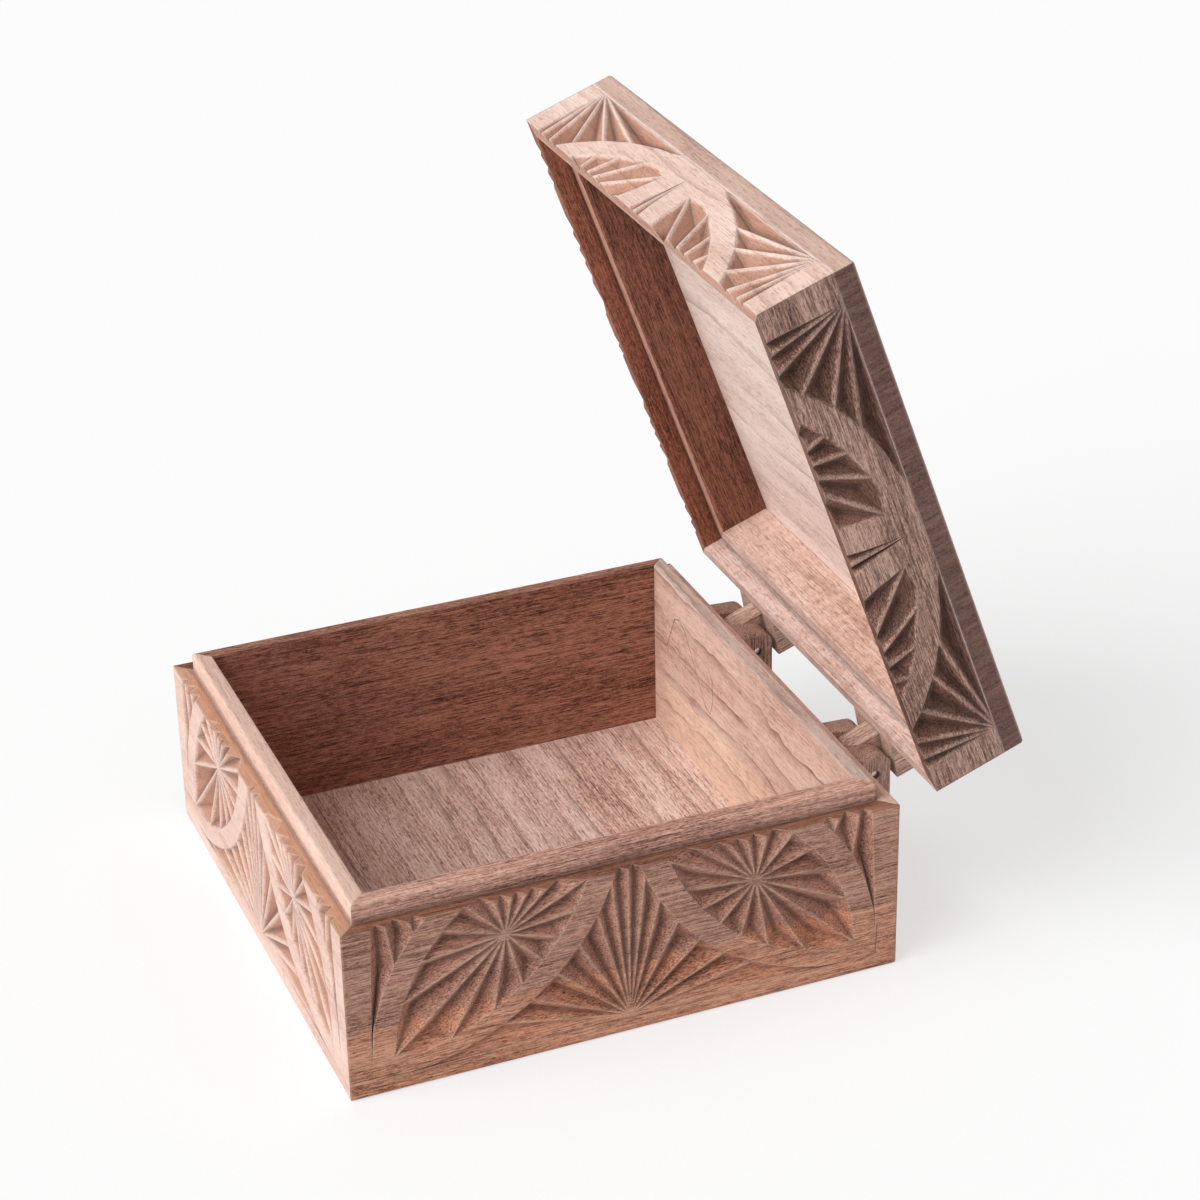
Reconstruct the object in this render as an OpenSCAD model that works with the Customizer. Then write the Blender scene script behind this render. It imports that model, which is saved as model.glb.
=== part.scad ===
// Carved walnut jewelry box with a hinged lid.
// Four mitred walls and a floor board make the body, four mitred walls and a
// top board make the lid, and two wooden knuckle hinges on steel pins join them.
// Origin: centre of the underside of the body. +Z up, front towards -Y,
// hinges on the +Y side, hinge axis along X.

/* [Body] */
// Outside width of body and lid, side to side
box_w = 157; // [130:1:220]
// Outside depth of body and lid, front to back
box_d = 160; // [130:1:220]
// Height of the body from its underside to the outer ledge
body_h = 52; // [44:0.5:80]
// Thickness of the walls of body and lid
wall_t = 9.5; // [8.5:0.1:13]
// Width of the ledge that the lid rim lands on
ledge_w = 4.8; // [4.2:0.1:5.6]
// Height of the raised lip inside the ledge
lip_h = 5.7; // [3:0.1:8]
// Rounding of the outer top edge of the lip
lip_round = 1.1; // [0.4:0.1:1.6]
// Thickness of the floor board
floor_t = 3.7; // [3:0.1:6]
// How far the floor board reaches under each wall
floor_reach = 4.5; // [2:0.1:6]
// Gap between the edge of the floor board and its rebate
floor_gap = 0.2; // [0.1:0.05:0.5]
// Rounding of the lower outer edge
foot_round = 1.2; // [0.4:0.1:2]

/* [Lid] */
// Height of the lid walls, from rim to top board
lid_wall_h = 21.8; // [19:0.1:34]
// Thickness of the top board
top_t = 7.3; // [5:0.1:10]
// Width of the eased zone round the top board
ease_w = 9; // [4:0.5:16]
// How far the eased zone falls at the edge of the top board
ease_drop = 1.1; // [0.4:0.1:2]
// Rounding of the top board's upper edge
top_round = 1.2; // [0.5:0.1:2]
// Sideways gap between the lip and the lid rim
lip_gap = 0.5; // [0.4:0.05:0.8]
// Gap above the lip when the lid is shut
lip_clear = 0.4; // [0.2:0.05:1]
// How far the lid stands open from shut
lid_angle = 70; // [0:1:100]

/* [Hinges] */
// Distance between the middles of the two hinges
hinge_spacing = 78.5; // [50:0.5:90]
// Width of each hinge along the pin
hinge_w = 23.5; // [18:0.5:30]
// Thickness of the hinge leaves behind the back wall
leaf_t = 11.2; // [10.6:0.1:12.6]
// Length of the body leaf below the ledge
body_leaf_len = 32; // [24:0.5:40]
// Length of the lid leaf above the rim
lid_leaf_len = 19; // [12:0.5:21]
// Width of the tongue between the two ears
tongue_w = 7.7; // [6:0.1:9]
// Gap on each side of the tongue
tongue_gap = 0.15; // [0.1:0.05:0.4]
// Distance of the pin's middle behind the back wall
pin_back = 6.6; // [6:0.1:7.2]
// Distance of the pin's middle below the ledge
pin_drop = 7.4; // [7:0.1:9]
// Diameter of the steel pin
pin_d = 2; // [1.6:0.1:3]
// How deep each end of the pin sits in its ear
pin_recess = 1.2; // [0.5:0.1:2.5]
// Radial gap between pin and ear
ear_fit = 0.04; // [0.02:0.01:0.08]
// Radial gap between pin and tongue
tongue_fit = 0.08; // [0.04:0.01:0.1]
// Radial gap round the pin at the mouth of the bore
mouth_gap = 0.35; // [0.2:0.05:0.6]
// Height of the ear tops above the middle of the pin
ear_rise = 6; // [5.2:0.1:6.2]
// Bevel along the outer edges of the ear tops
ear_bevel = 1.5; // [0.4:0.1:2.2]
// Gap between the rounded tongue end and the back wall
swing_gap = 0.4; // [0.25:0.05:0.8]
// How far the shoulder of the lid leaf falls towards the back
shoulder_fall = 1.7; // [1:0.1:1.8]
// Bevel at the far ends of the leaves
leaf_bevel = 3; // [1:0.5:5]

/* [Carving] */
// Plain border between the carving and the side edges
side_border = 6; // [5:0.5:12]
// Plain border under the carving
foot_border = 4.8; // [4:0.1:10]
// Slope of the chip faces, depth over width
chip_slope = 1.05; // [0.6:0.05:1.2]
// Width of the ridges left between two chips
ridge_w = 0.36; // [0.2:0.02:0.6]
// Rays in each rosette
rosette_rays = 16; // [12:2:20]
// How much denser the rosette rays are towards the lens ends
rosette_stretch = 1.32; // [1:0.02:1.6]
// Hand-cut wander of the two rosette centres
hand_drift = 1; // [0:0.1:1.4]
// Chips between the middle of the fan and its lowest ridge
fan_chips = 5; // [4:1:6]
// Chips in each corner fan along the ring
corner_chips = 4; // [3:1:5]

/* [Hidden] */

$fn = 48;
walnut = "#a97c68";
walnut_dark = "#8a6250";
walnut_pale = "#c49a84";
steel = "#c9c9cb";

// Overshoot of a cutting shape past the surface that it cuts
over = 1;
// Segments in a rounded edge
round_steps = 8;
// Segments in the eased zone of the top board
ease_steps = 14;

rim_t = ledge_w - lip_gap;
rebate_h = lip_h + lip_clear;
lid_top_z = body_h + lid_wall_h;
pin_r = pin_d / 2;
pin_y = box_d / 2 + pin_back;
pin_z = body_h - pin_drop;
tongue_r = pin_back - swing_gap;

// The carving is laid out with a compass on the closed side of the box, as a
// half panel of panel_half by panel_top, and stretched to the real side
panel_half = 74;
panel_foot = 4.8;
panel_top = 73.6;
// Arch that crosses body and lid, struck from three centres: one for each
// flank, and one on the middle line for the crown that joins them, which
// reaches up to crown_top outside and to crown_foot inside
flank_c = [9.5, 8];
flank_r = 64.5;
arch_w = 6.5;
crown_top = 73.9;
crown_foot = 68.5;
// Arc that rises from the lower corner to the top middle
sweep_c = [70, 74.5];
sweep_out = 70;
// The lens ends at its own arc, so that the band grows wider as it rises
lens_c = [72, 72.6];
lens_r = 64;
// Middle of a rosette and of the fan, and the top corner of the corner fan,
// a little above the board line, so that the top board caps its long chip
hub = [36, 40];
fan_foot = [0, 5.6];
fan_tip = [0, 71];
corner_top = [71, 74.3];
// Direction of the lens between arch and sweep
lens_turn = -43;
// Angles on the sweep where the fan starts and ends, and on the flank where
// the corner chips start and end
fan_from = 201.4;
fan_to = 241.4;
corner_from = 66.3;
corner_to = 29;
// Low ground chip: angles of its points on the sweep, how far its deepest line
// lies below each, and its two ends
ground_turn = [fan_to, 247, 253, 259];
ground_dip = [2.1, 1.6, 1.1, 0.6];
ground_start = [2, 5.9];
ground_end = [73, 4.8];
// Gap kept between two neighbouring cuts in the air above the wood
cut_gap = 0.02;

// Plane geometry of a chip

function on_circle(c, r, a) = c + r * [cos(a), sin(a)];

// Distance from p along direction e to the circle round c
function reach(p, e, c, r) =
    let (q = p - c, b = q * e) -b + sqrt(b * b - q * q + r * r);

// Centre, on the middle line, of the crown arc whose top is at height t and
// which meets a flank arc of radius r
function crown_c(t, r) =
    [0, (pow(t - r, 2) - flank_c * flank_c) / (2 * (t - r - flank_c[1]))];

// The same to the inside of the arch: its crown where the ray runs above the
// line through the two centres, its flank elsewhere
function arch_reach(p, e) =
    let (r = flank_r - arch_w,
         c = crown_c(crown_foot, r),
         f = reach(p, e, flank_c, r),
         h = p + f * e - c,
         k = flank_c - c)
    h[1] * k[0] > h[0] * k[1] ? reach(p, e, c, crown_foot - c[1]) : f;

// Middle of the circle that touches the three sides of a triangle
function incentre(p, q, s) =
    let (a = norm(q - s), b = norm(p - s), c = norm(p - q))
    (a * p + b * q + c * s) / (a + b + c);

function inradius(p, q, s) =
    let (a = norm(q - s), b = norm(p - s), c = norm(p - q), u = q - p, v = s - p)
    abs(u[0] * v[1] - u[1] * v[0]) / (a + b + c);

function turn_sum(pts) =
    let (n = len(pts), s = [for (i = [0:n-1])
        let (p = pts[i], q = pts[(i + 1) % n]) p[0] * q[1] - p[1] * q[0]])
    s * [for (i = [0:n-1]) 1];

function reversed(pts) = [for (i = [len(pts)-1:-1:0]) pts[i]];

function anticlockwise(pts) = turn_sum(pts) > 0 ? pts : reversed(pts);

// One chip: a pyramid that hangs from its outline, with the knife's slope
// on every side. The deepest point lies below the incentre of its three
// corners, and extra points let one side follow an arc. Local frame of a
// wall: X along it, Y into the wood, Z up.
module chip(corner, first, last, arc, kx, kz) {
    deep = incentre(corner, first, last);
    r = inradius(corner, first, last);
    shrink = 1 - cut_gap / r;
    outline = anticlockwise(concat([corner, first], arc, [last]));
    n = len(outline);
    lift = chip_slope * (ridge_w / 2 - cut_gap);
    depth = chip_slope * (r - ridge_w / 2);
    rim = [for (p = outline)
        let (q = deep + shrink * (p - deep)) [q[0] * kx, -lift, place_v(q[1], kz)]];
    polyhedron(
        points = concat(rim, [[deep[0] * kx, depth, place_v(deep[1], kz)]]),
        faces = concat([[for (i = [n-1:-1:0]) i]],
                       [for (i = [0:n-1]) [i, (i + 1) % n, n]]));
}

function place_v(v, kz) = foot_border + (v - panel_foot) * kz;

// Carving of one side. Chips that lie wholly outside from..to are left out.
module carving(side_w, from, to) {
    kx = (side_w / 2 - side_border) / panel_half;
    kz = (lid_top_z - foot_border) / (panel_top + cut_gap * 10 - panel_foot);
    for (s = [-1, 1]) {
        fan(s, kx, kz, from, to);
        rosette(s, kx, kz, from, to);
        corner_fan(s, kx, kz, from, to);
    }
}

module chip_in(corner, first, last, arc, s, kx, kz, from, to) {
    heights = [for (p = concat([corner, first, last], arc)) place_v(p[1], kz)];
    if (max(heights) > from && min(heights) < to)
        chip([s * corner[0], corner[1]], [s * first[0], first[1]],
             [s * last[0], last[1]], [for (p = arc) [s * p[0], p[1]]], kx, kz);
}

// Low ground chip of the fan: cut down steeply along the ridge and the sweep,
// and risen from there gently to the foot border
module ground_chip(s, kx, kz, from, to) {
    n = len(ground_turn);
    lift = chip_slope * (ridge_w / 2 - cut_gap);
    top = [for (a = ground_turn) on_circle(sweep_c, sweep_out, a) - [0, cut_gap]];
    rows = concat(
        [[ground_start[0], -lift, ground_start[1]]],
        [for (p = top) [p[0], -lift, p[1]]],
        [for (i = [0:n-1]) [top[i][0], chip_slope * (ground_dip[i] - ridge_w / 2),
                            top[i][1] - ground_dip[i]]],
        [[ground_end[0], -lift, ground_end[1]]]);
    end = 2 * n + 1;
    faces = concat(
        [concat([for (i = [0:n]) i], [end])],
        [[0, n + 1, 1], [n, 2 * n, end], [0, end, 2 * n]],
        [for (i = [1:n-1]) [i, n + i, n + i + 1]],
        [for (i = [1:n-1]) [i, n + i + 1, i + 1]],
        [for (i = [1:n-1]) [0, n + i + 1, n + i]]);
    if (from < panel_foot && panel_foot < to)
        polyhedron(
            points = [for (p = rows) [s * p[0] * kx, p[1], place_v(p[2], kz)]],
            faces = s > 0 ? faces : [for (f = faces) reversed(f)]);
}

// Half of the fan that stands on the middle of the foot
module fan(s, kx, kz, from, to) {
    step = (fan_to - fan_from) / fan_chips;
    tips = [for (i = [0:fan_chips]) on_circle(sweep_c, sweep_out, fan_from + i * step)];
    for (i = [0:fan_chips-1])
        chip_in(fan_foot, tips[i], tips[i+1], [], s, kx, kz, from, to);
    // tall chip beside the middle ridge, up to the top of the lid
    chip_in(fan_foot, tips[0], fan_tip,
            [for (a = [194, 188]) on_circle(sweep_c, sweep_out, a)],
            s, kx, kz, from, to);
    ground_chip(s, kx, kz, from, to);
}

// Rosette in the lens between arch and sweep
module rosette(s, kx, kz, from, to) {
    c = hub + [s * hand_drift, -s * hand_drift];
    for (i = [0:rosette_rays-1])
        chip_in(c, ray_tip(c, i), ray_tip(c, i + 1), [ray_tip(c, i + 0.5)],
                s, kx, kz, from, to);
}

// End of ray i, spread over an ellipse that lies along the lens
function ray_tip(c, i) =
    let (t = i * 360 / rosette_rays,
         a = atan2(sin(t), rosette_stretch * cos(t)) + lens_turn,
         e = [cos(a), sin(a)])
    c + e * min(arch_reach(c, e), reach(c, e, lens_c, lens_r));

// Fan that hangs from the top corner and runs down over the joint
module corner_fan(s, kx, kz, from, to) {
    step = (corner_from - corner_to) / corner_chips;
    tips = [for (i = [0:corner_chips]) on_circle(flank_c, flank_r, corner_from - i * step)];
    crown = crown_c(crown_top, flank_r);
    for (i = [0:corner_chips-1])
        chip_in(corner_top, tips[i], tips[i+1], [], s, kx, kz, from, to);
    // long chip under the top board, along the crown
    chip_in(corner_top, tips[0], [12, corner_top[1]],
            [for (a = [76, 80]) on_circle(crown, crown_top - crown[1], a)],
            s, kx, kz, from, to);
    // long chip beside the upright border
    chip_in(corner_top, tips[corner_chips], [panel_half, 6],
            [for (a = [20, 10]) on_circle(flank_c, flank_r, a)], s, kx, kz, from, to);
}

// Walls

// Puts a wall drawn at the front on side 0 front, 1 right, 2 back or 3 left
module on_side(side) {
    rotate([0, 0, 90 * side])
        translate([0, -(side % 2 == 0 ? box_d : box_w) / 2, 0])
            children();
}

function side_length(side) = side % 2 == 0 ? box_w : box_d;

// Mitred bar of the given cross-section, depth into the box by height
module mitred_bar(length, section) {
    intersection() {
        rotate([90, 0, 90])
            linear_extrude(height = length, center = true)
                polygon(section);
        translate([0, 0, -over])
            linear_extrude(height = lid_top_z + 2 * over)
                polygon([[-length/2, 0], [length/2, 0],
                         [length/2 - wall_t, wall_t], [-length/2 + wall_t, wall_t]]);
    }
}

// Points of a rounded corner from angle a0 to angle a1
function corner_arc(c, r, a0, a1) =
    [for (i = [0:round_steps]) on_circle(c, r, a0 + (a1 - a0) * i / round_steps)];

module body_wall(side, carved) {
    lip_z = body_h + lip_h;
    section = concat(
        corner_arc([foot_round, foot_round], foot_round, 270, 180),
        [[0, body_h], [ledge_w, body_h]],
        corner_arc([ledge_w + lip_round, lip_z - lip_round], lip_round, 180, 90),
        [[wall_t, lip_z], [wall_t, floor_t],
         [wall_t - floor_reach, floor_t], [wall_t - floor_reach, 0]]);
    on_side(side)
        difference() {
            mitred_bar(side_length(side), section);
            if (carved)
                carving(side_length(side), 0, body_h);
        }
}

module lid_wall(side, carved) {
    section = [[0, body_h], [0, lid_top_z], [wall_t, lid_top_z],
               [wall_t, body_h + rebate_h], [rim_t, body_h + rebate_h], [rim_t, body_h]];
    open_lid()
        on_side(side)
            difference() {
                mitred_bar(side_length(side), section);
                if (carved)
                    carving(side_length(side), body_h, lid_top_z);
            }
}

// Swings the closed lid about the hinge pins
module open_lid() {
    translate([0, pin_y, pin_z])
        rotate([-lid_angle, 0, 0])
            translate([0, -pin_y, -pin_z])
                children();
}

module body_front_wall() {
    color(walnut_pale) body_wall(0, true);
}

module body_right_wall() {
    color(walnut) body_wall(1, true);
}

module body_back_wall() {
    color(walnut_pale) body_wall(2, false);
}

module body_left_wall() {
    color(walnut) body_wall(3, true);
}

module lid_front_wall() {
    color(walnut_pale) lid_wall(0, true);
}

module lid_right_wall() {
    color(walnut) lid_wall(1, true);
}

module lid_back_wall() {
    color(walnut_pale) lid_wall(2, false);
}

module lid_left_wall() {
    color(walnut) lid_wall(3, true);
}

// Boards

// Board in the rebate under the walls
module body_floor() {
    inset = wall_t - floor_reach + floor_gap;
    color(walnut_dark)
        translate([inset - box_w/2, inset - box_d/2, 0])
            cube([box_w - 2 * inset, box_d - 2 * inset, floor_t]);
}

// Height of the eased top face at distance d from the edge of the board
function eased_z(d) = top_t - ease_drop * pow(1 - min(d, ease_w) / ease_w, 2);

// Cross-section of the top board over a given width
function board_section(width) =
    let (h = width / 2,
         edge = corner_arc([h - top_round, eased_z(top_round) - top_round], top_round, 0, 90),
         slope = [for (i = [1:ease_steps])
             let (d = top_round + (ease_w - top_round) * i / ease_steps) [h - d, eased_z(d)]],
         right = concat([[h, 0]], edge, slope))
    concat(right, [for (p = reversed(right)) [-p[0], p[1]]]);

// Top board, eased towards all four edges
module lid_top_board() {
    color(walnut_dark)
        open_lid()
            translate([0, 0, lid_top_z])
                intersection() {
                    rotate([90, 0, 0])
                        linear_extrude(height = box_d, center = true)
                            polygon(board_section(box_w));
                    rotate([90, 0, 90])
                        linear_extrude(height = box_w, center = true)
                            polygon(board_section(box_d));
                }
}

// Hinges

module at_hinge(s) {
    translate([s * hinge_spacing / 2, pin_y, pin_z])
        children();
}

// Round bar along the pin
module pin_bar(r, length) {
    rotate([0, 90, 0])
        cylinder(r = r, h = length, center = true);
}

// Slab along the pin, with its section given as [behind the pin, above the pin]
module pin_slab(length, section) {
    rotate([90, 0, 90])
        linear_extrude(height = length, center = true)
            polygon(section);
}

// Fork glued to the back wall: two ears that hold the pin
module body_leaf(s) {
    out = leaf_t - pin_back;
    foot = pin_drop - body_leaf_len;
    inner_rise = pin_drop - 0.6;
    slot_w = tongue_w + 2 * tongue_gap;
    slot_foot = -(tongue_r + swing_gap);
    at_hinge(s)
        difference() {
            intersection() {
                union() {
                    pin_slab(hinge_w, [[-pin_back, foot + leaf_bevel],
                                       [-pin_back, inner_rise], [0, ear_rise], [0, 0],
                                       [out, 0], [out, foot + leaf_bevel]]);
                    pin_slab(hinge_w, [[-pin_back, foot], [out - leaf_bevel, foot],
                                       [out, foot + leaf_bevel],
                                       [-pin_back, foot + leaf_bevel]]);
                    pin_bar(ear_rise, hinge_w);
                }
                // view of the leaf from behind, beveled along the ear tops
                translate([0, out, 0])
                    rotate([90, 0, 0])
                        linear_extrude(height = leaf_t)
                            polygon([[-hinge_w/2, foot], [hinge_w/2, foot],
                                     [hinge_w/2, inner_rise - ear_bevel],
                                     [hinge_w/2 - ear_bevel, inner_rise],
                                     [-hinge_w/2 + ear_bevel, inner_rise],
                                     [-hinge_w/2, inner_rise - ear_bevel]]);
            }
            translate([-slot_w/2, -pin_back - over, slot_foot])
                cube([slot_w, leaf_t + 2 * over, body_leaf_len]);
            pin_bar(pin_r + ear_fit, hinge_w + 2 * over);
            for (e = [-1, 1])
                translate([e * (hinge_w/2 - pin_recess/2 + over/2), 0, 0])
                    pin_bar(pin_r + mouth_gap, pin_recess + over);
        }
}

// Leaf glued to the lid: a block with one tongue that turns on the pin
module lid_leaf(s) {
    out = leaf_t - pin_back;
    top = pin_drop + lid_leaf_len;
    open_lid()
        at_hinge(s)
            difference() {
                union() {
                    pin_slab(hinge_w, [[-pin_back, pin_drop], [-pin_back, top],
                                       [out - leaf_bevel, top], [out, top - leaf_bevel],
                                       [out, pin_drop - shoulder_fall]]);
                    intersection() {
                        union() {
                            pin_bar(tongue_r, tongue_w);
                            pin_slab(tongue_w, [[-tongue_r, 0], [-tongue_r, pin_drop],
                                                [out, pin_drop], [out, 0]]);
                        }
                        translate([-tongue_w/2, -pin_back, -pin_back])
                            cube([tongue_w, leaf_t, pin_back + pin_drop]);
                    }
                }
                pin_bar(pin_r + tongue_fit, hinge_w);
            }
}

// Steel wire pin
module hinge_pin(s) {
    at_hinge(s)
        pin_bar(pin_r, hinge_w - 2 * pin_recess);
}

module right_hinge_body_leaf() {
    color(walnut_dark) body_leaf(1);
}

module right_hinge_lid_leaf() {
    color(walnut_dark) lid_leaf(1);
}

module right_hinge_pin() {
    color(steel) hinge_pin(1);
}

module left_hinge_body_leaf() {
    color(walnut_dark) body_leaf(-1);
}

module left_hinge_lid_leaf() {
    color(walnut_dark) lid_leaf(-1);
}

module left_hinge_pin() {
    color(steel) hinge_pin(-1);
}

body_front_wall();
body_right_wall();
body_back_wall();
body_left_wall();
body_floor();
lid_front_wall();
lid_right_wall();
lid_back_wall();
lid_left_wall();
lid_top_board();
right_hinge_body_leaf();
right_hinge_lid_leaf();
right_hinge_pin();
left_hinge_body_leaf();
left_hinge_lid_leaf();
left_hinge_pin();
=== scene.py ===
# %% [markdown]
# A carved walnut jewelry box, dressed for the studio.
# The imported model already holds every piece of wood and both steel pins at
# their true size, with the lid standing open. This lesson gives them their
# looks: raw walnut with its figure, chip carving whose ridges are softened by
# the hand, two wire pins, a pale sweep of paper and a soft light.

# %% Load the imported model
import math

import bpy
import numpy as np
from mathutils import Matrix, Vector

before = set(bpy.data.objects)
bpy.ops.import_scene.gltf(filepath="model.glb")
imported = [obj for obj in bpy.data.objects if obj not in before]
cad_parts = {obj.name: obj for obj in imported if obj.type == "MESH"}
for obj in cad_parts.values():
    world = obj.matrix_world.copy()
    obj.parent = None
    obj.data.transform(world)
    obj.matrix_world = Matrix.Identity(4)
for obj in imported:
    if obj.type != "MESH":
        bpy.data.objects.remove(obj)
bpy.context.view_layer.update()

MM = 0.001

# %% [markdown]
# The camera is a plain pinhole. A long lens from 0.95 m keeps the upright
# edges of the box nearly parallel, as in the photograph, and its place comes
# from matching the box's corners. The three directions of a camera are its
# right, its up and, pointing back at the photographer, minus its view.

# %% Camera
CAMERA_PLACE = Vector((0.74669, -0.27300, 0.51499))
VIEW = Vector((-0.8208, 0.3274, -0.4682)).normalized()
CAMERA_RIGHT = Vector((0.3795, 0.9250, -0.0184))
LENS, SENSOR = 97.2, 36.0


def place_camera():
    """Puts the camera at its place, with its axes squared up on the view."""
    data = bpy.data.cameras.new("camera")
    data.lens, data.sensor_width = LENS, SENSOR
    camera = bpy.data.objects.new("camera", data)
    bpy.context.scene.collection.objects.link(camera)
    right = (CAMERA_RIGHT - VIEW * CAMERA_RIGHT.dot(VIEW)).normalized()
    up = right.cross(VIEW)
    camera.matrix_world = Matrix.Translation(CAMERA_PLACE) @ Matrix(
        (right, up, -VIEW)).transposed().to_4x4()
    return camera


bpy.context.scene.camera = place_camera()
print("camera", round(CAMERA_PLACE.length, 2), "m from the origin, lens", LENS, "mm")

# %% [markdown]
# Colours are written as sRGB hex values, the way a paint chart gives them,
# and one function turns them into the linear values that a shader needs.

# %% Colours
def linear(hex_colour):
    """sRGB to linear: c / 12.92 below 0.04045, ((c + 0.055) / 1.055) ** 2.4 above."""
    c = np.array([int(hex_colour[i:i + 2], 16) / 255 for i in (1, 3, 5)])
    out = np.where(c <= 0.04045, c / 12.92, ((c + 0.055) / 1.055) ** 2.4)
    return (*out.tolist(), 1.0)


print("walnut #a97c68 is", [round(c, 3) for c in linear("#a97c68")[:3]])

# %% [markdown]
# A material is a tree of nodes. One small function adds any node, sets it up,
# joins its inputs and hands back one output, so that a material reads like a
# recipe with one step a line.

# %% Nodes
def add(tree, kind, inputs=(), out=0, stops=(), **settings):
    """Adds a shader node and gives back one of its outputs.

    inputs fills the sockets, in order from a list or by number or name from a
    dict, each with a value or with another node's output. settings are the
    node's properties, and stops the positions and hex colours of a ramp.
    """
    node = tree.nodes.new("ShaderNode" + kind)
    for key, value in settings.items():
        setattr(node, key, value)
    for socket, value in inputs.items() if isinstance(inputs, dict) else enumerate(inputs):
        if isinstance(value, bpy.types.NodeSocket):
            tree.links.new(value, node.inputs[socket])
        else:
            node.inputs[socket].default_value = value
    for place, _ in stops[2:]:
        node.color_ramp.elements.new(place)
    for index, (place, colour) in enumerate(stops):
        node.color_ramp.elements[index].position = place
        node.color_ramp.elements[index].color = linear(colour)
    return node.outputs[out]


def new_material(name):
    """A material with its Principled shader: gives all three handles."""
    material = bpy.data.materials.new(name)
    material.use_nodes = True
    tree = material.node_tree
    return material, tree, tree.nodes["Principled BSDF"]


print("one function adds every node")

# %% [markdown]
# Raw walnut, sanded and left without oil, is matt and a little pink. Its
# figure is solid: it runs through the board, so each facet of the carving
# cuts it at its own angle, as the knife does. That is why the patterns here
# read a place in space, in millimetres with X along the grain, and no picture
# is wrapped round the piece. A lid board's place is first turned back to the
# shut lid.

# %% Where the grain runs
LID_OPEN = math.radians(70)
PIN = Vector((0, 86.6, 44.6)) * MM
TURN_SHUT = Matrix.Rotation(LID_OPEN, 3, "X")
GRAIN_TURN = {"X": (0, 0, 0), "Y": (0, 0, -math.pi / 2), "Z": (0, math.pi / 2, 0)}


def board_place(tree, lid):
    """Place on the shut box, in metres."""
    place = add(tree, "TexCoord", out="Object")
    if lid:
        place = add(tree, "Mapping", {"Vector": place, "Rotation": (LID_OPEN, 0, 0),
                                      "Location": PIN - TURN_SHUT @ PIN})
    return place


def grain_place(tree, place, grain, shift):
    """Place in mm with X along the grain; shift takes another stretch of plank."""
    return add(tree, "Mapping", {"Vector": place, "Rotation": GRAIN_TURN[grain],
                                 "Scale": (1 / MM,) * 3, "Location": (shift, 0, 0)})


def streaks(tree, along, length, width, detail=2.0, roughness=0.55):
    """Noise whose grains are length mm long and width mm across."""
    coords = add(tree, "VectorMath", [along, (1 / length, 1 / width, 1 / width)],
                 operation="MULTIPLY")
    return add(tree, "TexNoise", {"Vector": coords, "Scale": 1.0, "Detail": detail,
                                  "Roughness": roughness}, out="Fac")


def total(tree, start, *parts):
    """start plus share * value for each (share, value)."""
    for share, value in parts:
        start = add(tree, "Math", [value, share, start], operation="MULTIPLY_ADD")
    return start


def past(tree, value, limit, over):
    """0 before limit and 1 past it, passing evenly over the stretch over around it.

    It is value / over + 0.5 - limit / over, held between 0 and 1. A negative
    stretch turns it round.
    """
    return add(tree, "Math", [value, 1 / over, 0.5 - limit / over],
               operation="MULTIPLY_ADD", use_clamp=True)


print("lid turned back by", round(math.degrees(LID_OPEN)), "degrees for its pattern")

# %% [markdown]
# Three things shift the colour along a board: slow clouds a few centimetres
# long, hair-fine fibres, some long and some broken into dashes, and the chalky
# fuzz that sanding leaves. True fibres are about 0.03 mm across, too fine to
# show, so they are drawn 0.35 mm wide. Where the fibres of a board lie in
# waves, as in its curly parts, light and dark ripples cross the grain every
# 3 mm. Noise is 0.5 on average, so half of each share is taken off again, to
# leave the board's own colour in the middle.

# %% Clouds, fibres and fuzz
CLOUD, FIBRE, DASH = (60, 11), (18, 0.35), (2.2, 0.45)
FUZZ, RIPPLE = (0.8, 0.5), (3.0, 9)
MIDDLE = 0.42


def body_colour(tree, along, pale, deep, line, grit, curl):
    """Colour between pale and line, with the fibre and fuzz it was made of."""
    cloud = streaks(tree, along, *CLOUD, 3.0)
    fibre = streaks(tree, along, *FIBRE, 2.0, 0.6)
    dash = streaks(tree, along, *DASH, 1.0)
    fuzz = streaks(tree, along, *FUZZ, 1.0)
    shares = [(1.0, cloud), (1.5 * grit, fibre), (1.1 * grit, dash), (0.8 * grit, fuzz)]
    if curl:
        shares.append((curl, streaks(tree, along, *RIPPLE, 2.0)))
    tone = total(tree, MIDDLE - sum(share for share, _ in shares) / 2, *shares)
    return add(tree, "ValToRGB", [tone],
               stops=[(0.1, pale), (0.62, deep), (1.05, line)]), fibre, fuzz


print("clouds", CLOUD, "fibres", FIBRE, "fuzz", FUZZ, "mm long and wide")

# %% [markdown]
# Each year of the tree ends in a thin dark line. The rings are circles round
# the pith, which lies beside the board, so a flat board cuts them into long
# arches. The line is a high power of the fraction of the distance between two
# rings, a little wavy, and it comes and goes along the board.

# %% Growth rings
LONG_WAVE, SHORT_WAVE, COMES_AND_GOES = (95, 34), (9, 4), (40, 6)
LINE_POWER = 6.0


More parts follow.
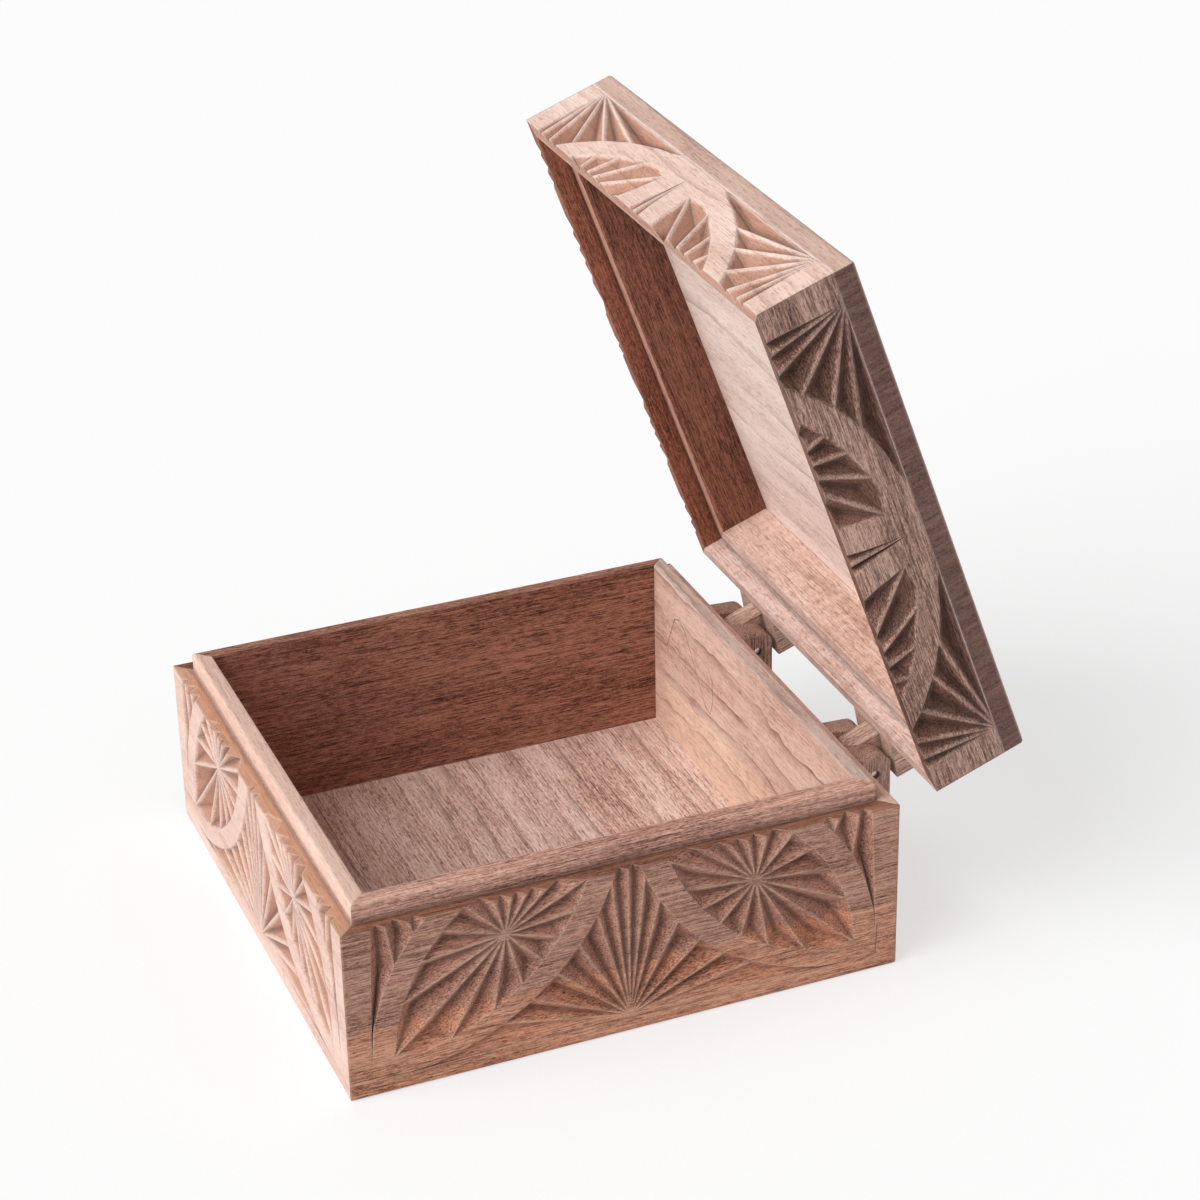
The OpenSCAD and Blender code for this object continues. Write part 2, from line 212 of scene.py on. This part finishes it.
def growth_rings(tree, along, pith, ring_mm, waver):
    """From 0 to 1 on the dark line of each year, with the slow wave it follows."""
    wave = total(tree, streaks(tree, along, *LONG_WAVE, 1.0),
                 (0.16, streaks(tree, along, *SHORT_WAVE, 1.0)))
    from_pith = add(tree, "VectorMath", [along, (0, 1, 1), (0, -pith[0], -pith[1])],
                    operation="MULTIPLY_ADD")
    radius = add(tree, "VectorMath", [from_pith], "Value", operation="LENGTH")
    year = add(tree, "Math", [total(tree, 0.0, (1 / ring_mm, radius), (waver, wave))],
               operation="FRACT")
    late = add(tree, "Math", [year, LINE_POWER], operation="POWER")
    seen = past(tree, streaks(tree, along, *COMES_AND_GOES, 1.0), 0.5, 0.3)
    return add(tree, "Math", [late, seen], operation="MULTIPLY"), wave


print("year lines wave every", LONG_WAVE[0], "and", SHORT_WAVE[0], "mm")

# %% [markdown]
# A wall isn't one colour over its height: it was cut across the border of two
# layers of the log. And the sanded face is paler than what was cut into it
# later. Both are found from a place alone: the height above the table, and
# the depth below the face. So the flats stay pale, the facets of the carving
# come out browner, and the saw's rough brown shows on the ledge. A tint is a
# colour that the board's own colour is multiplied by, so white changes nothing.

# %% Carved and sawn faces
LEDGE_Z, LEDGE_W = 52.0, 4.8
BORDER, CUT_DEPTH, CUT_SOFT = 1.1, 0.8, 0.6


def two_layers(tree, colour, place, wave, height, sway, below, above):
    """Tints the wood under and over a border at height mm that sways by sway mm."""
    z = add(tree, "SeparateXYZ", [place], out=2)
    over = past(tree, total(tree, -sway / 2, (1 / MM, z), (sway, wave)), height, BORDER)
    tint = add(tree, "Mix", {0: over, 6: linear(below), 7: linear(above)}, 2,
               data_type="RGBA")
    return add(tree, "Mix", {0: 1.0, 6: colour, 7: tint}, 2, data_type="RGBA",
               blend_type="MULTIPLY")


def carved_face(tree, colour, place, fibre, facing, distance, flat, fresh, ledge, lip):
    """Tints the face that lies distance mm from the middle and looks along facing.

    flat is its tint where it is whole and fresh its tint in the cuts, whose
    border the fibre frays. A body wall has a tint for its ledge and for its lip.
    """
    level = add(tree, "VectorMath", [place, facing], "Value", operation="DOT_PRODUCT")
    depth = total(tree, distance, (-1 / MM, level))
    behind = past(tree, depth, LEDGE_W - 0.3, 0.3)
    cut = past(tree, total(tree, depth, (0.5, fibre)), CUT_DEPTH, CUT_SOFT)
    tint = add(tree, "Mix", {0: cut, 6: linear(flat), 7: linear(fresh)}, 2,
               data_type="RGBA")
    if ledge:
        z = add(tree, "SeparateXYZ", [place], out=2)
        sawn = past(tree, z, (LEDGE_Z - 0.4) * MM, 0.5 * MM)
        tint = add(tree, "Mix", {0: sawn, 6: tint, 7: linear(ledge)}, 2, data_type="RGBA")
    tint = add(tree, "Mix", {0: behind, 6: tint, 7: linear(lip or "#ffffff")}, 2,
               data_type="RGBA")
    return add(tree, "Mix", {0: 1.0, 6: colour, 7: tint}, 2, data_type="RGBA",
               blend_type="MULTIPLY")


print("ledge at", LEDGE_Z, "mm,", LEDGE_W, "mm wide")

# %% [markdown]
# End grain drinks the light, so the board of the lid is dark where it looks
# along its grain: a purple brown with fine upright streaks, each the edge of
# one layer of the wood.

# %% End grain
END_STREAK, END_FACING = (30, 1.1, 9), 0.83


def end_grain(tree, colour, place, fuzz, pale, dark):
    """Colour with fine streaks between pale and dark wherever a face looks along X."""
    facing = add(tree, "VectorMath", [add(tree, "NewGeometry", out="Normal"), (1, 0, 0)],
                 "Value", operation="DOT_PRODUCT")
    facing = add(tree, "Math", [facing], operation="ABSOLUTE")
    cut = past(tree, facing, END_FACING, 0.33)
    streak = add(tree, "Mapping", {"Vector": place, "Scale": [
        1 / (size * MM) for size in END_STREAK]})
    streak = add(tree, "TexNoise", {"Vector": streak, "Scale": 1.0, "Detail": 4.0,
                                    "Roughness": 0.7}, out="Fac")
    tone = total(tree, -0.5, (1.3, streak), (0.7, fuzz))
    sawn = add(tree, "ValToRGB", [tone], stops=[(0.2, dark), (0.8, pale)])
    return add(tree, "Mix", {0: cut, 6: colour, 7: sawn}, 2, data_type="RGBA")


print("end grain shows on faces within",
      round(math.degrees(math.acos(END_FACING))), "degrees of X")

# %% [markdown]
# The carver set out the corners with a pencil, and marked the inside of the
# back wall with a loose loop, as joiners mark the face of a board. The thin
# grey lines are left. And where the lid drops over the lip, its left step is
# painted pale: a painted highlight where that step catches the light. Each is
# drawn by its distance from a straight run: the place is measured from the
# start, its share of the run is held between 0 and 1, and what is left over
# is the distance.

# %% Pencil lines and a painted highlight on a step
# each is a colour, how far it reaches to a side in mm, and how much of it shows
PENCIL = ("#4b4444", 0.35, 0.55)
# painted highlight: a pale band along the lid's left step, where the step catches the light
PAINTED_STEP_HIGHLIGHT = ("#dba892", 2.6, 0.65)


def drawn_line(tree, colour, place, start, end, tint, reach, share_seen):
    """Line of tint, reach mm to each side, from start to end, both in mm."""
    run = end - start
    from_start = add(tree, "VectorMath", [place, (1 / MM,) * 3, -start],
                     operation="MULTIPLY_ADD")
    share = add(tree, "VectorMath", [from_start, run / run.length_squared], "Value",
                operation="DOT_PRODUCT")
    share = add(tree, "Math", [share, 1.0], operation="MULTIPLY", use_clamp=True)
    nearest = add(tree, "VectorMath", {0: run, "Scale": share}, operation="SCALE")
    apart = add(tree, "VectorMath", [from_start, nearest], "Value", operation="DISTANCE")
    drawn = past(tree, apart, reach - 0.12, -0.25)
    drawn = add(tree, "Math", [drawn, share_seen], operation="MULTIPLY")
    return add(tree, "Mix", {0: drawn, 6: colour, 7: linear(tint)}, 2,
               data_type="RGBA")


print("pencil lines", 2 * PENCIL[1], "mm wide")

# %% [markdown]
# The last touches are the same on every board. Open pores show as dark dashes
# a few millimetres long. The hollows, which the Ambient Occlusion node finds,
# are darkened with painted shade and a little dust. The ridges, which the
# Bevel node finds, are painted pale: a painted highlight, partly the burnish
# of the hand. The Bevel node gives the normal of an edge rounded by a knife's
# wear, and where that differs from the flat normal there is a ridge. The bump
# is a tenth of a millimetre of fibre, fuzz and sunken pores. Raw wood has a
# broad, weak gloss, so its roughness is high and its highlights are dimmed.

# %% Pores, painted shade in the hollows and painted light on worn ridges
# colour of the painted shade, with a little dust, in the hollows; below, how far that shade reaches
# in mm
HOLLOW_SHADE_AND_DUST = "#33201a"
PORE, HOLLOW_SHADE_REACH, RIDGE_ROUND, BUMP = (4.5, 0.32), 2.0, 0.7, 0.14


def finish_with_painted_light(tree, shader, colour, along, fibre, fuzz, pale, line, pores, ridge_light_and_wear):
    """Pores, painted shade and dust in the hollows, painted light on worn ridges, then the bump and
    the gloss.
    """
    pore = past(tree, streaks(tree, along, *PORE, 1.0, 0.4), 0.65, 0.08)
    shade = add(tree, "Math", [pore, pores], operation="MULTIPLY")
    colour = add(tree, "Mix", {0: shade, 6: colour, 7: linear(line)}, 2,
                 data_type="RGBA")
    hollow = add(tree, "AmbientOcclusion", {"Distance": HOLLOW_SHADE_REACH * MM}, "AO", samples=2,
                 only_local=True)
    # painted shade: the hollows that the Ambient Occlusion node finds are darkened towards a dark
    # brown, with a little dust
    painted_hollow_shade = past(tree, hollow, 0.53, -0.67)
    colour = add(tree, "Mix", {0: painted_hollow_shade, 6: colour, 7: linear(HOLLOW_SHADE_AND_DUST)}, 2,
                 data_type="RGBA")
    rounded = add(tree, "Bevel", {"Radius": RIDGE_ROUND * MM}, samples=3)
    facet = add(tree, "NewGeometry", out="Normal")
    alike = add(tree, "VectorMath", [rounded, facet], "Value", operation="DOT_PRODUCT")
    bend = past(tree, alike, 0.844, -0.3125)
    # painted highlight: the ridges that the Bevel node finds are lightened towards the pale colour,
    # partly as wear of the hand
    ridge_light_and_wear_share = add(tree, "Math", [bend, hollow], operation="MULTIPLY")
    ridge_light_and_wear_share = add(tree, "Math", [ridge_light_and_wear_share, ridge_light_and_wear], operation="MULTIPLY", use_clamp=True)
    colour = add(tree, "Mix", {0: ridge_light_and_wear_share, 6: colour, 7: linear(pale)}, 2,
                 data_type="RGBA")
    tree.links.new(colour, shader.inputs["Base Color"])

    relief = total(tree, 0.0, (0.9, fibre), (0.25, fuzz), (-0.8, pore))
    bump = add(tree, "Bump", {"Height": relief, "Distance": BUMP * MM,
                              "Strength": 0.8, "Normal": rounded})
    tree.links.new(bump, shader.inputs["Normal"])
    gloss = total(tree, 0.58, (0.14, fibre))
    tree.links.new(gloss, shader.inputs["Roughness"])
    shader.inputs["IOR"].default_value = 1.5
    shader.inputs["Specular IOR Level"].default_value = 0.3


print("ridges rounded by", RIDGE_ROUND, "mm, bump", BUMP, "mm deep")

# %% [markdown]
# All of it together makes one board. The pale sanded colour, the deeper
# colour of the fibres and the dark line colour are the board's own, and so is
# its cut through the log.

# %% One walnut board
def walnut(name, grain, pale, deep, line, pith=(18, -30), ring_mm=4.5, rings=0.5,
           waver=2.0, grit=0.8, curl=0.0, pores=0.6, ridge_light_and_wear=0.6, shift=0.0, lid=False,
           layers=(), face=None, ends=None, marks=()):
    """Material of one board, named for the node that it dresses.

    grain is the direction of its length. pith is where the heart of the log
    lies across the grain in mm, ring_mm the width of a year and waver how much
    the years wave. rings, grit, curl and pores say how strongly each of these
    shows, and the ridge number how pale the ridges are painted: a painted
    highlight, partly wear. layers, face, ends and marks are what the functions
    above take after their first arguments.
    """
    material, tree, shader = new_material("raw_walnut_" + name)
    place = board_place(tree, lid)
    along = grain_place(tree, place, grain, shift)
    colour, fibre, fuzz = body_colour(tree, along, pale, deep, line, grit, curl)
    year, wave = growth_rings(tree, along, pith, ring_mm, waver)
    year = add(tree, "Math", [year, rings], operation="MULTIPLY", use_clamp=True)
    colour = add(tree, "Mix", {0: year, 6: colour, 7: linear(line)}, 2,
                 data_type="RGBA")
    for layer in layers:
        colour = two_layers(tree, colour, place, wave, *layer)
    if face:
        colour = carved_face(tree, colour, place, fibre, *face)
    if ends:
        colour = end_grain(tree, colour, place, fuzz, *ends)
    for start, end, *mark in marks:
        colour = drawn_line(tree, colour, place, Vector(start), Vector(end), *mark)
    finish_with_painted_light(tree, shader, colour, along, fibre, fuzz, pale, line, pores, ridge_light_and_wear)
    return material


print("raw walnut recipe ready")

# %% [markdown]
# Every board comes from its own plank, so each gets its own colours and its
# own cut through the log: the walls run with the grain along their length,
# the floor and the top board along X, the hinge leaves along their height.
# The two left walls are dark partly because their board is darker and partly
# by painted shade, for the shade that lies on them inside the box.

# %% Boards
# half the box across and from front to back, and a wall's thickness, in mm
HALF_W, HALF_D, WALL = 78.5, 80.0, 9.5
FRONT, RIGHT, LEFT = ((0, -1, 0), HALF_D), ((1, 0, 0), HALF_W), ((-1, 0, 0), HALF_W)
LIP_TOP = (57.3, 0, "#ffffff", "#e4f2fa")
PENCIL_CORNERS = [((HALF_W, -72.5, 5), (HALF_W, -66, 6), *PENCIL),
                  ((HALF_W, 74, 15), (HALF_W, 73.6, 6), *PENCIL),
                  ((HALF_W, 74, 5.5), (HALF_W, 68, 4.5), *PENCIL)]
STEP_X, STEP_Z, STEP_END = 71.6, 58.1, 73.0
# the painted highlight along the lid's left step
LID_STEP = [((-STEP_X, -STEP_END, STEP_Z), (-STEP_X, STEP_END, STEP_Z), *PAINTED_STEP_HIGHLIGHT)]
PENCIL_LOOP = [(-68.5, 33.5), (-59.5, 34.5), (-53.5, 46.5), (-50, 48), (-45.5, 46),
               (-38, 37), (-30.5, 28), (-27, 27), (-25, 32), (-25.5, 39.5), (-28, 42)]


def pencil_run(points):
    """The stretches of a line through (x, z) points on the back wall's inner face."""
    on_wall = [(x, HALF_D - WALL, z) for x, z in points]
    return [(*ends, *PENCIL) for ends in zip(on_wall, on_wall[1:])]


BOARDS = {
    "body_front_wall": dict(
        grain="X", pale="#eacfc2", deep="#d5b4a4", line="#8c6857", pith=(-150, -40),
        ring_mm=5, rings=0.3, grit=0.5, pores=0.3, ridge_light_and_wear=1.0,
        face=(*FRONT, "#f6f4f5", "#d0b7a9", "#e8cdb8", "#fff9f6")),
    "body_right_wall": dict(
        grain="Y", pale="#fed5bb", deep="#c79880", line="#553a2f", pith=(-120, 170),
        ring_mm=4, grit=0.95, pores=0.5, ridge_light_and_wear=0.5, layers=[(22, 6, "#f7e2da", "#e0d7dc")],
        face=(*RIGHT, "#ddd8d2", "#ded0c9", "#b4a191", "#ffffff"), marks=PENCIL_CORNERS),
    "body_back_wall": dict(
        grain="X", pale="#efd9cd", deep="#d8b9a8", line="#8c6657", pith=(150, -40),
        ring_mm=8, rings=1.0, grit=0.6, curl=0.4, pores=0.35,
        layers=[(22, 6, "#fff3e8", "#f3e8e4"), LIP_TOP], marks=pencil_run(PENCIL_LOOP)),
    # painted shade: these colours are darker than the board for the shade inside the box, and partly
    # a darker board
    "body_left_wall": dict(
        grain="Y", pale="#b5806b", deep="#845543", line="#3a2118", pith=(140, 190),
        ring_mm=3.5, grit=1.1, pores=0.85, face=(*LEFT, "#ffffff", "#ead7cc", "#c2ad9c", "#ffffff")),
    "body_floor": dict(
        grain="X", pale="#f4dcd0", deep="#cfa999", line="#6f4b3e", pith=(-90, -160),
        ring_mm=4, rings=0.7, waver=0.7, grit=0.9, pores=0.6),
    "lid_front_wall": dict(
        grain="X", pale="#f2d8ca", deep="#d9b8a8", line="#8f6959", pith=(-160, 150),
        ring_mm=5, grit=0.5, pores=0.35, ridge_light_and_wear=0.9, lid=True,
        face=(*FRONT, "#ffffff", "#d2b8ac", None, None)),
    "lid_right_wall": dict(
        grain="Y", pale="#c7a293", deep="#816054", line="#35221c", pith=(-190, 160),
        ring_mm=4, lid=True, face=(*RIGHT, "#ffffff", "#b5a49b", None, None)),
    "lid_back_wall": dict(
        grain="X", pale="#e2cbc0", deep="#c5a597", line="#8b6555", pith=(160, 120),
        ring_mm=5, rings=0.6, grit=0.75, curl=0.7, pores=0.5, lid=True,
        layers=[(58.5, 0, "#fbf8f7", "#f8efe9")]),
    # painted shade: these colours are darker than the board for the shade inside the lid, and partly
    # a darker board
    "lid_left_wall": dict(
        grain="Y", pale="#b9836f", deep="#865746", line="#351f17", pith=(140, 120),
        ring_mm=3.5, grit=1.0, pores=0.8, lid=True, layers=[(59, 0, "#ffffff", "#cfc5bb")],
        face=(*LEFT, "#ffffff", "#ead7cc", None, None), marks=LID_STEP),
    "lid_top_board": dict(
        grain="X", pale="#fbe9e1", deep="#e3cabf", line="#7d5f55", pith=(-60, 310),
        ring_mm=5, waver=1.0, grit=0.55, pores=0.35, lid=True,
        layers=[(74.2, 0, "#ffffff", "#d6c7be")], ends=("#84635a", "#452d29")),
    "right_hinge_body_leaf": dict(
        grain="Z", pale="#c8a797", deep="#906e5f", line="#443027", pith=(50, 60),
        ring_mm=3),
    "left_hinge_body_leaf": dict(
        grain="Z", pale="#c4a292", deep="#8c6b5c", line="#443027", pith=(60, 70),
        ring_mm=3),
    "right_hinge_lid_leaf": dict(
        grain="Z", pale="#dcbba9", deep="#a98777", line="#5f4439", pith=(50, 60),
        ring_mm=3, lid=True),
    "left_hinge_lid_leaf": dict(
        grain="Z", pale="#dcbba9", deep="#a98777", line="#5f4439", pith=(64, 60),
        ring_mm=3, lid=True),
}


def dress(node, material):
    """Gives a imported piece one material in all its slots."""
    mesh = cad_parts[node].data
    mesh.materials.clear()
    mesh.materials.append(material)


for number, (node, look) in enumerate(BOARDS.items()):
    dress(node, walnut(node, shift=137.0 * number, **look))
print("boards dressed:", len(BOARDS))

# %% [markdown]
# The pins are bright drawn steel wire, cut off and left blank. Drawing leaves
# fine scratches along the wire, too fine to show, so that a slight unevenness
# of the gloss is all that the eye gets.

# %% Steel wire
WIRE_GRAIN = 0.4


def drawn_steel():
    """Bright metal whose gloss varies a little from place to place."""
    material, tree, shader = new_material("drawn_steel_wire")
    fine = add(tree, "TexNoise", {"Vector": add(tree, "TexCoord", out="Object"),
                                  "Scale": 1 / (WIRE_GRAIN * MM)})
    tree.links.new(total(tree, 0.36, (0.2, fine)), shader.inputs["Roughness"])
    shader.inputs["Base Color"].default_value = linear("#e6e6e7")
    shader.inputs["Metallic"].default_value = 1.0
    return material


steel = drawn_steel()
for side in ("right", "left"):
    dress(side + "_hinge_pin", steel)
print("pins dressed: 2, their gloss varies every", WIRE_GRAIN, "mm")

# %% [markdown]
# The set is one sheet of white paper that runs far behind the box. It takes
# the shadow as any sheet does. Seen straight or in a gloss, it also has a
# part of its own white, as a sheet lit through from behind has, and that puts
# no more light on the box.

# %% Paper
PAPER_HALF = 6.0
PAPER_GLOW = 0.58


def direct_rays(tree):
    """1 for rays from the camera, a gloss or a glass, 0 for the light on things."""
    camera = add(tree, "LightPath", out="Is Camera Ray")
    glossy = add(tree, "LightPath", out="Is Glossy Ray")
    through = add(tree, "LightPath", out="Is Transmission Ray")
    either = add(tree, "Math", [camera, glossy], operation="MAXIMUM")
    return add(tree, "Math", [either, through], operation="MAXIMUM")


def paper_sheet(half):
    """Square sheet of side 2 * half metres on z = 0."""
    x, y = (np.array([-1, 1, 1, -1]) * half, np.array([-1, -1, 1, 1]) * half)
    mesh = bpy.data.meshes.new("paper")
    mesh.from_pydata(np.column_stack([x, y, np.zeros(4)]).tolist(), [], [(0, 1, 2, 3)])
    sheet = bpy.data.objects.new("paper", mesh)
    bpy.context.scene.collection.objects.link(sheet)
    material, tree, shader = new_material("white_paper")
    # the tooth of the paper, about a millimetre
    tooth = add(tree, "TexNoise", {"Vector": add(tree, "TexCoord", out="Object"),
                                   "Scale": 1 / MM})
    white = add(tree, "ValToRGB", [tooth], stops=[(0.3, "#fcfcfc"), (0.7, "#ffffff")])
    tree.links.new(white, shader.inputs["Base Color"])
    shader.inputs["Roughness"].default_value = 0.9
    shader.inputs["Specular IOR Level"].default_value = 0.1
    glow = add(tree, "Emission", {"Color": linear("#ffffff")})
    share = add(tree, "Math", [direct_rays(tree), PAPER_GLOW], operation="MULTIPLY")
    seen = add(tree, "MixShader", [share, shader.outputs[0], glow])
    tree.links.new(seen, tree.nodes["Material Output"].inputs[0])
    mesh.materials.append(material)
    return sheet


paper_sheet(PAPER_HALF)
print("paper", 2 * PAPER_HALF, "m square")

# %% [markdown]
# One broad lamp from the front and above throws a soft shadow to the right
# and behind, and rakes across the carving on the right side, so that each
# facet has its own shade. The even white world fills the rest. Looked at
# straight, the world is white, as the paper is.

# %% Lamp and world
KEY_TOWARDS, KEY_STRENGTH, KEY_SPREAD = (0.15, -0.80, 0.58), 2.9, 55
WORLD_STRENGTH = 0.42


def soft_sun(name, towards, strength, spread):
    """Distant lamp seen in the direction towards, spread degrees wide."""
    data = bpy.data.lights.new(name, "SUN")
    data.energy, data.angle = strength, math.radians(spread)
    lamp = bpy.data.objects.new(name, data)
    lamp.rotation_mode = "QUATERNION"
    lamp.rotation_quaternion = Vector(towards).to_track_quat("Z", "Y")
    bpy.context.scene.collection.objects.link(lamp)


def white_world(strength):
    """Even white light; where it is seen directly it is as white as the paper."""
    world = bpy.data.worlds.new("studio")
    bpy.context.scene.world = world
    world.use_nodes = True
    tree = world.node_tree
    fill = tree.nodes["Background"]
    fill.inputs["Color"].default_value = linear("#ffffff")
    fill.inputs["Strength"].default_value = strength
    backdrop = add(tree, "Background", {"Color": linear("#ffffff"), "Strength": 1.0})
    seen = add(tree, "MixShader", [direct_rays(tree), fill.outputs[0], backdrop])
    tree.links.new(seen, tree.nodes["World Output"].inputs[0])


soft_sun("key", KEY_TOWARDS, KEY_STRENGTH, KEY_SPREAD)
white_world(WORLD_STRENGTH)
bpy.context.scene.view_settings.view_transform = "Standard"
print("lamp", KEY_STRENGTH, "world", WORLD_STRENGTH)
